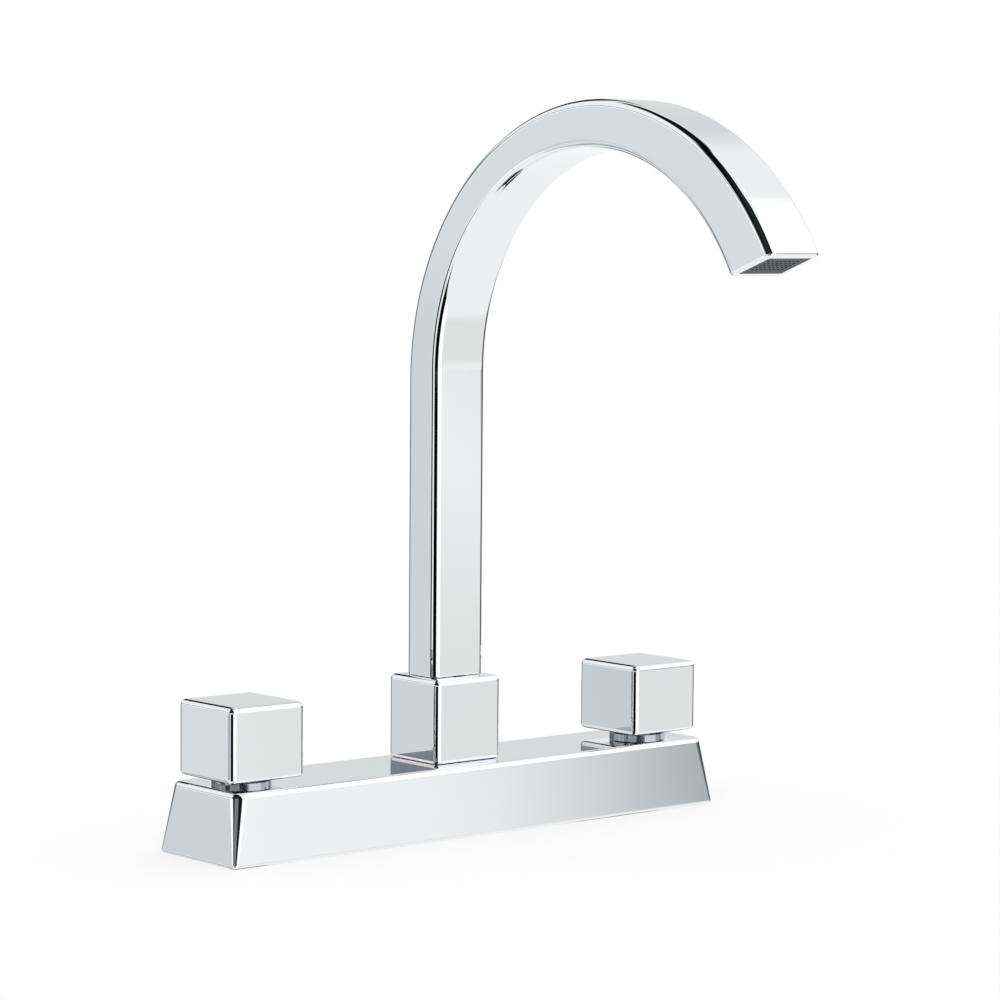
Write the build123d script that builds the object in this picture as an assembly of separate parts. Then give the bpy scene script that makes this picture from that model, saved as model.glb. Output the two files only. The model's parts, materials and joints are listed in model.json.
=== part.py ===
from build123d import *
from math import cos, radians, sin, sqrt, tan, tau
import os

# Two handle kitchen faucet: square-styled deck faucet with a high-arch swivel spout.
#
# Frame: millimetres, +Z up, +X along the cover, -Y towards the user. The origin lies on the deck
# surface, midway between the two handle axes. The left valve is built and mirrored for the right.

os.makedirs("parts", exist_ok=True)

# ---------------------------------------------------------------- driving dimensions
# clearances
THREAD_GAP = 0.04       # radial, between mating threads drawn as plain cylinders
RUNNING_GAP = 0.06      # radial, between turning shafts and their bores
SLIP_GAP = 0.10         # per side, between pieces that slide together once
SEAL_GAP = 0.025        # radial, on each side of a squeezed O-ring
HOLE_GAP = 0.3          # radial, where a neck passes through the cover
TURN_GAP = 0.4          # between a turning handle and the fixed neck under it
PAST = 1.0              # how far a cut runs past the face that it opens

# deck cover
HANDLE_SPACING = 203.2  # between the handle axes, the standard 8 in hole spacing
COVER_END = 20.9        # from a handle axis to the end of the cover's foot
COVER_DEPTH = 48.6      # at the foot
COVER_HEIGHT = 27.8
COVER_END_TAPER = 3.2   # how far each end leans in over the height
COVER_SIDE_TAPER = 2.8  # how far the front and the back lean in over the height
COVER_WALL = 2.0
COVER_CORNER_R = 1.5    # of the upright corners at the foot
COVER_CORNER_TOP_R = 5.0
COVER_INNER_CORNER_R = 0.8
COVER_RIM_R = 2.3       # round along the top edges
COVER_FOOT_R = 1.4      # round along the bottom edges
GASKET_THICKNESS = 1.5
GASKET_MARGIN = 0.4     # between the gasket and the cover's inner wall

# valve bodies and the tubes between them
BODY_R = 12.5
NECK_R = 9.8            # threaded neck above the cover
NECK_HEIGHT = 1.2       # how far the valve neck stands out of the cover
BODY_FLOOR = 3.5
SEAT_BORE_R = 7.2
SEAT_DEPTH = 3.0
CHAMBER_R = 9.5
CHAMBER_HEIGHT = 8.0
CARTRIDGE_BORE_R = 8.2
INLET_R = 4.4
TUBE_R = 6.0
TUBE_BORE_R = 4.8
TUBE_SOCKET_DEPTH = 5.0
TUBE_BOSS_WALL = 2.0
TUBE_BOSS_LENGTH = 5.5  # how far a tube boss stands out of the body's round wall
CENTRE_FLOOR = 4.5
CENTRE_BORE_R = 7.0
CENTRE_NECK_HEIGHT = 4.2

# shanks and mounting hardware below the deck
SHANK_R = 10.3
SHANK_BORE_R = 7.5
SHANK_LENGTH = 54.0
SHANK_CHAMFER = 0.8
SHANK_SPIGOT_R = 9.0    # brazed into the foot of the valve body
SHANK_SEAT = 2.0
RELIEF_DEPTH = 0.9
RELIEF_WIDTH = 1.5
HOSE_END = 15.5         # length of shank below the relief, for the supply hose
DECK_GRIP = 24.0        # deck thickness that the washers are drawn at
WASHER_R = 19.0
WASHER_THICKNESS = 2.0
WASHER_GAP = 0.5
NUT_FLATS = 30.0
NUT_HEIGHT = 8.0
NUT_CHAMFER = 1.2

# cartridge
SEAL_THICKNESS = 1.2
SEAL_BORE_R = 5.8
SLEEVE_WALL = 0.6       # cartridge wall round the discs
DISC_THICKNESS = 2.4
PORT_R_IN = 2.2
PORT_R_OUT = 5.6
PORT_ANGLE = 80.0
DRIVE_WIDTH = 2.4       # blade that turns the upper disc
DRIVE_DEPTH = 1.2
DRIVER_WIDTH = 3.4
DRIVER_HEIGHT = 2.4
WINDOW_WIDTH = 6.0
WINDOW_HEIGHT = 3.0
STEM_R = 4.0
SHOULDER_R = 5.4
SHOULDER_HEIGHT = 1.3
GLAND_HEIGHT = 4.2
GLAND_BORE_R = 4.6
GLAND_SLOT_WIDTH = 2.0
GLAND_SLOT_DEPTH = 1.4
O_RING_GROOVE_R = 3.0
O_RING_PITCH = 3.2
GROOVE_SHARE = 1.3      # width of an O-ring's groove, as a share of its depth
BODY_RING_GROOVE_R = 7.1
BODY_RING_OFFSET = 3.2  # above the foot of the cartridge head

# handles
HANDLE_WIDTH = 34.4
HANDLE_HEIGHT = 29.0
HANDLE_LIFT = 2.8       # from the cover to the cube's underside
HANDLE_TOP_WALL = 3.2   # metal left above the recess in a cube's underside
HANDLE_FOOT_R = 1.8
EDGE_R = 2.3            # round on the upright and top edges of the cubes and the hub
COLLAR_R = 11.5
COLLAR_HEIGHT = 1.4
NECK_RING_R = 11.5
NECK_RING_HEIGHT = 6.0
NECK_RING_CHAMFER = 0.2
HANDLE_BOSS_R = 7.2
RIB_THICKNESS = 2.0
SPLINE_TEETH = 20
SPLINE_DEPTH = 0.5
SPLINE_ROOT_SHARE = 0.60    # width of a tooth at its root, as a share of the pitch
SPLINE_CREST_SHARE = 0.32   # and at its crest
SPLINE_LENGTH = 15.0
SPLINE_START = 3.4      # above the cube's underside
SOCKET_SPARE = 1.0
HANDLE_SCREW_R = 2.0
HANDLE_SCREW_LENGTH = 5.0
HANDLE_SCREW_HEIGHT = 10.6
SCREW_HEX = 2.0         # across flats

# hub and swivel
HUB_WIDTH = 33.0
HUB_DEPTH = 30.4
HUB_HEIGHT = 33.4
HUB_FOOT_R = 1.3
HUB_SETBACK = 2.6       # the hub and the spout stand this far behind the handles' line
HUB_SEPTUM = 3.3
HUB_PORT_R = 5.5
HUB_SEAL_THICKNESS = 1.2
JOURNAL_R = 7.2
JOURNAL_BORE_R = 4.6
JOURNAL_CLEAR = 1.5     # between the journal's foot and the septum
JOURNAL_RING_DEPTH = 1.0
JOURNAL_RING_START = 3.2    # from the journal's foot to its first O-ring
JOURNAL_RING_PITCH = 4.0
SPIGOT_R = 5.8
BUSH_WALL = 2.2
BUSH_DEPTH = 5.2
BUSH_LAND = 1.2         # radial width of the raised face that carries the spout
SPOUT_GAP = 0.3         # between the hub and the column
KEEPER_R = 2.5
KEEPER_LENGTH = 6.0
KEEPER_TIP_R = 1.5
KEEPER_TIP_LENGTH = 1.2
KEEPER_DROP = 8.7       # below the hub's top
KEEPER_GAP = 0.3        # round the tip in its groove
KEEPER_HEX = 2.5

# spout
SPOUT_WIDTH = 25.7
SPOUT_THICKNESS = 18.0  # of the column and of the crown
TIP_THICKNESS = 23.3
SPOUT_WALL = 1.8
SPOUT_EDGE_R = 3.0
SPOUT_FOOT_R = 0.4
TIP_EDGE_R = 1.2
BEND_START = 182.0      # above the deck, where the inner arc begins
INNER_RADIUS = 86.5
INNER_SWEEP = 152.5     # degrees
TIP_CUT_ANGLE = 20.3    # degrees, between the mouth and the horizontal
PLUG_HEIGHT = 10.0

# outlet
MOUTH_WALL_X = 2.1      # rim at the two sides
MOUTH_WALL_Y = 3.4      # rim at the front and the back
MOUTH_DEPTH = 6.0
MOUTH_LEDGE = 1.8
TIP_BLOCK = 8.0         # solid length at the tip
OUTLET_SEAL_THICKNESS = 1.0
SCREEN_THICKNESS = 0.6
INSERT_RECESS = 0.25
INSERT_HOLE = 1.1
INSERT_PITCH = 2.1
SCREEN_BORDER = 2.4
SCREEN_SLOT = 0.9
SCREEN_PITCH = 1.8

# ---------------------------------------------------------------- sizes worked out from them
HANDLE_X = HANDLE_SPACING / 2
COVER_LENGTH = HANDLE_SPACING + 2 * COVER_END
COVER_UNDERSIDE = COVER_HEIGHT - COVER_WALL
COVER_HOLE_R = NECK_R + HOLE_GAP

BODY_FOOT = GASKET_THICKNESS
SEAT_Z = BODY_FOOT + BODY_FLOOR
CHAMBER_Z = SEAT_Z + SEAT_DEPTH
CHAMBER_TOP = CHAMBER_Z + CHAMBER_HEIGHT
NECK_TOP = COVER_HEIGHT + NECK_HEIGHT
TUBE_Z = CHAMBER_Z + CHAMBER_HEIGHT / 2
BOSS_END = BODY_R + TUBE_BOSS_LENGTH

SLEEVE_R = SEAT_BORE_R - SLIP_GAP
DISC_R = SLEEVE_R - SLEEVE_WALL - RUNNING_GAP
HEAD_R = CARTRIDGE_BORE_R - SLIP_GAP
CARTRIDGE_Z = SEAT_Z + SEAL_THICKNESS
TURNING_Z = CARTRIDGE_Z + DISC_THICKNESS
DRIVER_Z = TURNING_Z + DISC_THICKNESS + RUNNING_GAP
SHOULDER_Z = DRIVER_Z + DRIVER_HEIGHT
WEB_Z = SHOULDER_Z + SHOULDER_HEIGHT + RUNNING_GAP
GLAND_TOP = NECK_TOP - SLIP_GAP
HEAD_TOP = GLAND_TOP - GLAND_HEIGHT
STEM_BORE_R = STEM_R + RUNNING_GAP
STEM_RINGS_Z = (WEB_Z + HEAD_TOP) / 2

HANDLE_Z = COVER_HEIGHT + HANDLE_LIFT
HANDLE_TOP = HANDLE_Z + HANDLE_HEIGHT
COLLAR_TOP = COVER_HEIGHT + COLLAR_HEIGHT
NECK_RING_Z = COLLAR_TOP + TURN_GAP
NECK_RING_TOP = NECK_RING_Z + NECK_RING_HEIGHT
SPLINE_Z = HANDLE_Z + SPLINE_START
STEM_TOP = SPLINE_Z + SPLINE_LENGTH
HANDLE_SCREW_Z = HANDLE_Z + HANDLE_SCREW_HEIGHT

HUB_TOP = COVER_HEIGHT + HUB_HEIGHT
CENTRE_NECK_TOP = COVER_HEIGHT + CENTRE_NECK_HEIGHT
SEPTUM_Z = CENTRE_NECK_TOP + HUB_SEAL_THICKNESS
JOURNAL_Z = SEPTUM_Z + HUB_SEPTUM + JOURNAL_CLEAR
HUB_BORE_R = JOURNAL_R + SLIP_GAP
BUSH_R = JOURNAL_R + RUNNING_GAP + BUSH_WALL
KEEPER_Z = HUB_TOP - KEEPER_DROP
KEEPER_START = HUB_BORE_R + KEEPER_GAP
KEEPER_TIP = KEEPER_START - KEEPER_TIP_LENGTH

SPOUT_Z = HUB_TOP + SPOUT_GAP
FRONT_Y = HUB_SETBACK - SPOUT_THICKNESS / 2
BACK_Y = HUB_SETBACK + SPOUT_THICKNESS / 2
INNER_CENTRE = (FRONT_Y - INNER_RADIUS, BEND_START)
INNER_TIP = (
    INNER_CENTRE[0] + INNER_RADIUS * cos(radians(INNER_SWEEP)),
    INNER_CENTRE[1] + INNER_RADIUS * sin(radians(INNER_SWEEP)),
)
MOUTH_DIRECTION = (-cos(radians(TIP_CUT_ANGLE)), sin(radians(TIP_CUT_ANGLE)))
OUTER_TIP = (
    INNER_TIP[0] + TIP_THICKNESS * MOUTH_DIRECTION[0],
    INNER_TIP[1] + TIP_THICKNESS * MOUTH_DIRECTION[1],
)
# The outer arc starts upright on the column's back, touches the crown's height and ends at OUTER_TIP.
CROWN_Z = BEND_START + INNER_RADIUS + SPOUT_THICKNESS
OUTER_RUN = BACK_Y - OUTER_TIP[0]
OUTER_RISE = CROWN_Z - OUTER_TIP[1]
OUTER_RADIUS = OUTER_RUN + OUTER_RISE - sqrt(2 * OUTER_RUN * OUTER_RISE)
OUTER_CENTRE = (BACK_Y - OUTER_RADIUS, CROWN_Z - OUTER_RADIUS)
MOUTH_WIDTH = SPOUT_WIDTH - 2 * MOUTH_WALL_X
MOUTH_LENGTH = TIP_THICKNESS - 2 * MOUTH_WALL_Y
# The mouth's plane: local X is the row's X, local Y runs from the outer to the inner tip corner
# and local Z points into the spout.
MOUTH = Plane(
    origin=(0, (INNER_TIP[0] + OUTER_TIP[0]) / 2, (INNER_TIP[1] + OUTER_TIP[1]) / 2),
    x_dir=(1, 0, 0),
    z_dir=(0, MOUTH_DIRECTION[1], -MOUTH_DIRECTION[0]),
)

BASE = (Align.CENTER, Align.CENTER, Align.MIN)
TOP = (Align.CENTER, Align.CENTER, Align.MAX)


# ---------------------------------------------------------------- small helpers
def rod(radius, z0, z1):
    """Upright cylinder between two heights."""
    return Pos(0, 0, z0) * Cylinder(radius, z1 - z0, align=BASE)


def ring(outer, inner, z0, z1):
    """Upright tube between two heights."""
    return rod(outer, z0, z1) - rod(inner, z0, z1)


def block(width, depth, z0, z1):
    """Upright box between two heights."""
    return Pos(0, 0, z0) * Box(width, depth, z1 - z0, align=BASE)


def bar_x(radius, x0, x1, z):
    """Cylinder along X between two places."""
    return Pos(x0, 0, z) * Rot(0, 90, 0) * Cylinder(radius, x1 - x0, align=BASE)


def bar_y(radius, y0, y1, z):
    """Cylinder along Y between two places."""
    return Pos(0, y0, z) * Rot(-90, 0, 0) * Cylinder(radius, y1 - y0, align=BASE)


def o_ring(groove_r, bore_r, z):
    """O-ring squeezed between a groove's floor and a bore."""
    section = (bore_r - groove_r) / 2 - SEAL_GAP
    return Pos(0, 0, z) * Torus((groove_r + bore_r) / 2, section)


def groove_width(groove_r, bore_r):
    """Groove for o_ring, a little wider than its section."""
    return (bore_r - groove_r) * GROOVE_SHARE


def cut_groove(shaft, shaft_r, groove_r, bore_r, z):
    """A shaft with an O-ring groove at height z."""
    half = groove_width(groove_r, bore_r) / 2
    return shaft - ring(shaft_r + SLIP_GAP, groove_r, z - half, z + half)


def soften(solid, upright_r, top_r, foot_r):
    """Round a box's upright edges, then its top edges, then its foot edges."""
    solid = fillet(solid.edges().filter_by(Axis.Z), upright_r)
    solid = fillet(solid.faces().sort_by(Axis.Z)[-1].edges(), top_r)
    return fillet(solid.faces().sort_by(Axis.Z)[0].edges(), foot_r)


def grub_screw(radius, y0, y1, z, hex_flats):
    """Headless screw along Y with a hexagon socket in its +Y end."""
    depth = (y1 - y0) / 2
    key = extrude(RegularPolygon(hex_flats / 2, 6, major_radius=False), amount=depth)
    return bar_y(radius, y0, y1, z) - Pos(0, y1, z) * Rot(90, 0, 0) * key


# ---------------------------------------------------------------- cover and gasket
def tapered_block(length, depth, end_taper, side_taper, height, foot_r, top_r):
    """Block whose four sides lean in towards the top, with upright corners that widen upwards."""
    foot = RectangleRounded(length, depth, foot_r)
    top_length, top_depth = length - 2 * end_taper, depth - 2 * side_taper
    top = Pos(0, 0, height) * RectangleRounded(top_length, top_depth, top_r)
    return loft([foot, top], ruled=True)


def deck_cover():
    """Open-bottomed shell with leaning sides and three holes in its top."""
    outer = tapered_block(
        COVER_LENGTH,
        COVER_DEPTH,
        COVER_END_TAPER,
        COVER_SIDE_TAPER,
        COVER_HEIGHT,
        COVER_CORNER_R,
        COVER_CORNER_TOP_R,
    )
    outer = fillet(outer.faces().sort_by(Axis.Z)[-1].edges(), COVER_RIM_R)
    outer = fillet(outer.faces().sort_by(Axis.Z)[0].edges(), COVER_FOOT_R)
    share = COVER_UNDERSIDE / COVER_HEIGHT
    inner = tapered_block(
        COVER_LENGTH - 2 * COVER_WALL,
        COVER_DEPTH - 2 * COVER_WALL,
        COVER_END_TAPER * share,
        COVER_SIDE_TAPER * share,
        COVER_UNDERSIDE,
        COVER_INNER_CORNER_R,
        COVER_CORNER_TOP_R - COVER_WALL,
    )
    cover = outer - inner
    hole = rod(COVER_HOLE_R, COVER_UNDERSIDE - PAST, COVER_HEIGHT + PAST)
    for x, y in ((-HANDLE_X, 0), (HANDLE_X, 0), (0, HUB_SETBACK)):
        cover -= Pos(x, y, 0) * hole
    return cover


def deck_gasket():
    """Rubber pad inside the cover's foot, with a hole for each shank."""
    inset = 2 * (COVER_WALL + COVER_SIDE_TAPER * GASKET_THICKNESS / COVER_HEIGHT + GASKET_MARGIN)
    outline = RectangleRounded(COVER_LENGTH - inset, COVER_DEPTH - inset, COVER_CORNER_R)
    pad = extrude(outline, GASKET_THICKNESS)
    for x in (-HANDLE_X, HANDLE_X):
        pad -= Pos(x, 0, 0) * rod(SHANK_R + WASHER_GAP, -PAST, GASKET_THICKNESS + PAST)
    return pad


# ---------------------------------------------------------------- brass waterway
def tube_boss(reach):
    """Round boss for a cross tube, from a body's axis out to +X."""
    return bar_x(TUBE_R + TUBE_BOSS_WALL, 0, reach, TUBE_Z)


def tube_socket(reach):
    """Bore for a cross tube: the socket and the smaller passage behind it."""
    socket = bar_x(TUBE_R + THREAD_GAP, reach - TUBE_SOCKET_DEPTH, reach + PAST, TUBE_Z)
    return socket + bar_x(TUBE_BORE_R, 0, reach, TUBE_Z)


def valve_body():
    """Brass valve body on the Z axis, with its tube boss towards +X and a socket for the shank."""
    body = rod(BODY_R, BODY_FOOT, COVER_UNDERSIDE) + rod(NECK_R, COVER_UNDERSIDE, NECK_TOP)
    body += tube_boss(BOSS_END)
    body -= rod(SHANK_SPIGOT_R + THREAD_GAP, BODY_FOOT - PAST, BODY_FOOT + SHANK_SEAT)
    body -= rod(INLET_R, BODY_FOOT - PAST, SEAT_Z)
    body -= rod(SEAT_BORE_R, SEAT_Z, CHAMBER_Z)
    body -= rod(CHAMBER_R, CHAMBER_Z, CHAMBER_TOP)
    body -= rod(CARTRIDGE_BORE_R, CHAMBER_TOP, NECK_TOP)
    return body - tube_socket(BOSS_END)


def inlet_shank():
    """Threaded brass inlet through the deck, with a spigot at its top and a relief above the hose."""
    shank = chamfer(rod(SHANK_R, -SHANK_LENGTH, BODY_FOOT).edges().sort_by(Axis.Z)[0], SHANK_CHAMFER)
    relief_z = HOSE_END - SHANK_LENGTH
    shank -= ring(SHANK_R + PAST, SHANK_R - RELIEF_DEPTH, relief_z, relief_z + RELIEF_WIDTH)
    shank += rod(SHANK_SPIGOT_R, BODY_FOOT, BODY_FOOT + SHANK_SEAT)
    return shank - rod(SHANK_BORE_R, -SHANK_LENGTH - PAST, BODY_FOOT + SHANK_SEAT + PAST)


def centre_body():
    """Brass centre body under the hub, with a tube boss on each side and a neck for the hub."""
    at_hub = Pos(0, HUB_SETBACK, 0)
    body = at_hub * rod(BODY_R, BODY_FOOT, COVER_UNDERSIDE)
    body += at_hub * rod(NECK_R, COVER_UNDERSIDE, CENTRE_NECK_TOP)
    body += tube_boss(BOSS_END) + mirror(tube_boss(BOSS_END), about=Plane.YZ)
    body -= at_hub * rod(CENTRE_BORE_R, BODY_FOOT + CENTRE_FLOOR, CENTRE_NECK_TOP)
    return body - tube_socket(BOSS_END) - mirror(tube_socket(BOSS_END), about=Plane.YZ)


def cross_tube():
    """Copper tube between the left valve body and the centre body."""
    start = BOSS_END - TUBE_SOCKET_DEPTH + SLIP_GAP
    x0 = -HANDLE_X + start
    return bar_x(TUBE_R, x0, -start, TUBE_Z) - bar_x(TUBE_BORE_R, x0, -start, TUBE_Z)


# ---------------------------------------------------------------- mounting hardware
def mounting_washer():
    """Large steel washer under the deck."""
    return ring(WASHER_R, SHANK_R + WASHER_GAP, -DECK_GRIP - WASHER_THICKNESS, -DECK_GRIP)


def lock_nut():
    """Hexagon lock nut with chamfered corners, under the washer."""
    top = -DECK_GRIP - WASHER_THICKNESS
    hexagon = RegularPolygon(NUT_FLATS / 2, 6, major_radius=False)
    nut = Pos(0, 0, top - NUT_HEIGHT) * extrude(hexagon, NUT_HEIGHT)
    corner_r = NUT_FLATS / sqrt(3)
    turned = chamfer(rod(corner_r, top - NUT_HEIGHT, top).edges().filter_by(GeomType.CIRCLE), NUT_CHAMFER)
    return (nut & turned) - rod(SHANK_R + THREAD_GAP, top - NUT_HEIGHT, top)


# ---------------------------------------------------------------- cartridge
def port(angle):
    """Fan-shaped opening through a ceramic disc, centred on the given direction."""
    slope = tan(radians(PORT_ANGLE / 2))
    fan = Polygon((0, 0), (DISC_R, -DISC_R * slope), (DISC_R, DISC_R * slope), align=None)
    face = Rot(0, 0, angle) * ((Circle(PORT_R_OUT) - Circle(PORT_R_IN)) & fan)
    return Pos(0, 0, CARTRIDGE_Z - PAST) * extrude(face, 2 * (DISC_THICKNESS + PAST))


def ceramic_disc(z, angle):
    """Ceramic disc with two opposite ports."""
    return rod(DISC_R, z, z + DISC_THICKNESS) - port(angle) - port(angle + 180)


def fixed_disc():
    """Lower disc, keyed to the cartridge by its ports' direction."""
    return ceramic_disc(CARTRIDGE_Z, 0)


def turning_disc():
    """Upper disc, a quarter turn from open, with a slot for the stem's blade."""
    disc = ceramic_disc(TURNING_Z, 90)
    top = TURNING_Z + DISC_THICKNESS
    slot = block(2 * DISC_R, DRIVE_WIDTH + SLIP_GAP, top - DRIVE_DEPTH - SLIP_GAP, top)
    return disc - slot


def cartridge_body():
    """Brass cartridge: a sleeve with two windows round the discs, and a head that seals in the body."""
    shell = rod(SLEEVE_R, CARTRIDGE_Z, CHAMBER_TOP) + rod(HEAD_R, CHAMBER_TOP, HEAD_TOP)
    shell -= rod(SLEEVE_R - SLEEVE_WALL, CARTRIDGE_Z, WEB_Z)
    shell -= rod(STEM_BORE_R, WEB_Z, HEAD_TOP)
    sill = DRIVER_Z + RUNNING_GAP
    window = block(2 * SEAT_BORE_R + PAST, WINDOW_WIDTH, sill, sill + WINDOW_HEIGHT)
    shell -= Rot(0, 0, 90) * window
    ring_z = CHAMBER_TOP + BODY_RING_OFFSET
    return cut_groove(shell, HEAD_R, BODY_RING_GROOVE_R, CARTRIDGE_BORE_R, ring_z)


def cartridge_o_ring():
    """O-ring between the cartridge head and the valve body."""
    return o_ring(BODY_RING_GROOVE_R, CARTRIDGE_BORE_R, CHAMBER_TOP + BODY_RING_OFFSET)


def seat_seal():
    """Rubber ring under the fixed disc."""
    return ring(SLEEVE_R, SEAL_BORE_R, SEAT_Z, CARTRIDGE_Z)


def gland_nut():
    """Nut that holds the cartridge down, with a spanner slot across its top."""
    nut = ring(CARTRIDGE_BORE_R - THREAD_GAP, GLAND_BORE_R, HEAD_TOP, GLAND_TOP)
    return nut - block(2 * CARTRIDGE_BORE_R, GLAND_SLOT_WIDTH, GLAND_TOP - GLAND_SLOT_DEPTH, GLAND_TOP)


def spline(grow):
    """Outline of the stem's spline: trapezoid teeth, grown by a clearance."""
    points = []
    pitch = tau / SPLINE_TEETH
    root = STEM_R - SPLINE_DEPTH + grow
    crest = STEM_R + grow
    foot = SPLINE_ROOT_SHARE / 2
    land = SPLINE_CREST_SHARE / 2
    for tooth in range(SPLINE_TEETH):
        for side, radius in ((-foot, root), (-land, crest), (land, crest), (foot, root)):
            angle = pitch * (tooth + side)
            points.append((radius * cos(angle), radius * sin(angle)))
    return Polygon(*points, align=None)


def stem():
    """Stem with its disc driver, shoulder, two O-ring grooves and splined top."""
    bar = block(2 * DISC_R, DRIVER_WIDTH, DRIVER_Z, SHOULDER_Z) & rod(DISC_R, DRIVER_Z, SHOULDER_Z)
    blade_foot = TURNING_Z + DISC_THICKNESS - DRIVE_DEPTH
    blade = block(2 * DISC_R, DRIVE_WIDTH, blade_foot, DRIVER_Z) & rod(DISC_R, blade_foot, DRIVER_Z)
    shaft = rod(SHOULDER_R, SHOULDER_Z, SHOULDER_Z + SHOULDER_HEIGHT)
    shaft += rod(STEM_R, SHOULDER_Z + SHOULDER_HEIGHT, SPLINE_Z)
    for z in stem_ring_heights():
        shaft = cut_groove(shaft, STEM_R, O_RING_GROOVE_R, STEM_BORE_R, z)
    return bar + blade + shaft + Pos(0, 0, SPLINE_Z) * extrude(spline(0), SPLINE_LENGTH)


def stem_ring_heights():
    """Heights of the stem's two O-rings."""
    return [STEM_RINGS_Z - O_RING_PITCH / 2, STEM_RINGS_Z + O_RING_PITCH / 2]


def stem_o_rings():
    """The stem's two O-rings."""
    return Compound([o_ring(O_RING_GROOVE_R, STEM_BORE_R, z) for z in stem_ring_heights()])


# ---------------------------------------------------------------- handles
def collar():
    """Round collar that clamps the cover down on the valve neck."""
    return ring(COLLAR_R, NECK_R + THREAD_GAP, COVER_HEIGHT, COLLAR_TOP)


def neck_ring():
    """Round skirt under the cube, pressed into the cube's recess."""
    skirt = ring(NECK_RING_R, HANDLE_BOSS_R + THREAD_GAP, NECK_RING_Z, NECK_RING_TOP)
    foot_edges = skirt.edges().filter_by(GeomType.CIRCLE).group_by(Axis.Z)[0]
    return chamfer(foot_edges.sort_by(SortBy.RADIUS)[-1], NECK_RING_CHAMFER)


def handle_cube():
    """Cast cube with a round recess below for the neck ring, a splined boss and four ribs in it."""
    cube = block(HANDLE_WIDTH, HANDLE_WIDTH, HANDLE_Z, HANDLE_TOP)
    cube = soften(cube, EDGE_R, EDGE_R, HANDLE_FOOT_R)
    recess_r = NECK_RING_R + THREAD_GAP
    recess_top = HANDLE_TOP - HANDLE_TOP_WALL
    rib = block(2 * recess_r, RIB_THICKNESS, NECK_RING_TOP, recess_top)
    recess = ring(recess_r, HANDLE_BOSS_R, HANDLE_Z, recess_top)
    cube -= recess - Rot(0, 0, 45) * rib - Rot(0, 0, -45) * rib
    cube -= rod(STEM_R + SLIP_GAP, HANDLE_Z, SPLINE_Z)
    cube -= Pos(0, 0, SPLINE_Z) * extrude(spline(SLIP_GAP), SPLINE_LENGTH + SOCKET_SPARE)
    cube -= bar_y(HANDLE_SCREW_R + THREAD_GAP, 0, HANDLE_BOSS_R + PAST, HANDLE_SCREW_Z)
    return cube - bar_y(HANDLE_SCREW_R + HOLE_GAP, recess_r - PAST, HANDLE_WIDTH, HANDLE_SCREW_Z)


def handle_screw():
    """Grub screw in the boss, bearing on the stem's spline."""
    start = STEM_R + SLIP_GAP
    return grub_screw(HANDLE_SCREW_R, start, start + HANDLE_SCREW_LENGTH, HANDLE_SCREW_Z, SCREW_HEX)


# ---------------------------------------------------------------- hub and swivel
def hub_block():
    """Square hub with a socket for the centre neck, a journal bore and a keeper screw hole."""
    hub = soften(block(HUB_WIDTH, HUB_DEPTH, COVER_HEIGHT, HUB_TOP), EDGE_R, EDGE_R, HUB_FOOT_R)
    hub -= rod(NECK_R + THREAD_GAP, COVER_HEIGHT, SEPTUM_Z)
    hub -= rod(HUB_PORT_R, SEPTUM_Z - PAST, SEPTUM_Z + HUB_SEPTUM)
    hub -= rod(HUB_BORE_R, SEPTUM_Z + HUB_SEPTUM, HUB_TOP)
    hub -= rod(BUSH_R + THREAD_GAP, HUB_TOP - BUSH_DEPTH, HUB_TOP)
    hub -= bar_y(KEEPER_R + THREAD_GAP, 0, HUB_DEPTH, KEEPER_Z)
    return Pos(0, HUB_SETBACK, 0) * hub


def hub_seal():
    """Flat seal between the centre neck and the hub."""
    return Pos(0, HUB_SETBACK, 0) * ring(NECK_R - THREAD_GAP, CENTRE_BORE_R, CENTRE_NECK_TOP, SEPTUM_Z)


def swivel_bush():
    """Low-friction bush in the hub's top, with a raised land that carries the spout."""
    bore = JOURNAL_R + RUNNING_GAP
    bush = ring(BUSH_R, bore, HUB_TOP - BUSH_DEPTH, HUB_TOP)
    return Pos(0, HUB_SETBACK, 0) * (bush + ring(bore + BUSH_LAND, bore, HUB_TOP, SPOUT_Z))


def keeper_screw():
    """Dog-point screw from the back of the hub, with its tip in the journal's groove."""
    screw = grub_screw(KEEPER_R, KEEPER_START, KEEPER_START + KEEPER_LENGTH, KEEPER_Z, KEEPER_HEX)
    return Pos(0, HUB_SETBACK, 0) * (screw + bar_y(KEEPER_TIP_R, KEEPER_TIP, KEEPER_START, KEEPER_Z))


def journal_ring_heights():
    """Heights of the journal's two O-rings."""
    first = JOURNAL_Z + JOURNAL_RING_START
    return [first, first + JOURNAL_RING_PITCH]


def spout_journal():
    """Turned foot of the spout: journal, keeper groove, two O-ring grooves and a spigot."""
    journal = rod(JOURNAL_R, JOURNAL_Z, SPOUT_Z)
    groove_r = JOURNAL_R - JOURNAL_RING_DEPTH
    for z in journal_ring_heights():
        journal = cut_groove(journal, JOURNAL_R, groove_r, HUB_BORE_R, z)
    half = KEEPER_TIP_R + KEEPER_GAP
    journal -= ring(JOURNAL_R + PAST, KEEPER_TIP - KEEPER_GAP, KEEPER_Z - half, KEEPER_Z + half)
    journal += rod(SPIGOT_R, SPOUT_Z, SPOUT_Z + PLUG_HEIGHT)
    journal -= rod(JOURNAL_BORE_R, JOURNAL_Z, SPOUT_Z + PLUG_HEIGHT)
    return Pos(0, HUB_SETBACK, 0) * journal


def spout_o_rings():
    """The journal's two O-rings."""
    groove_r = JOURNAL_R - JOURNAL_RING_DEPTH
    rings = [o_ring(groove_r, HUB_BORE_R, z) for z in journal_ring_heights()]
    return Compound([Pos(0, HUB_SETBACK, 0) * each for each in rings])


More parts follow.
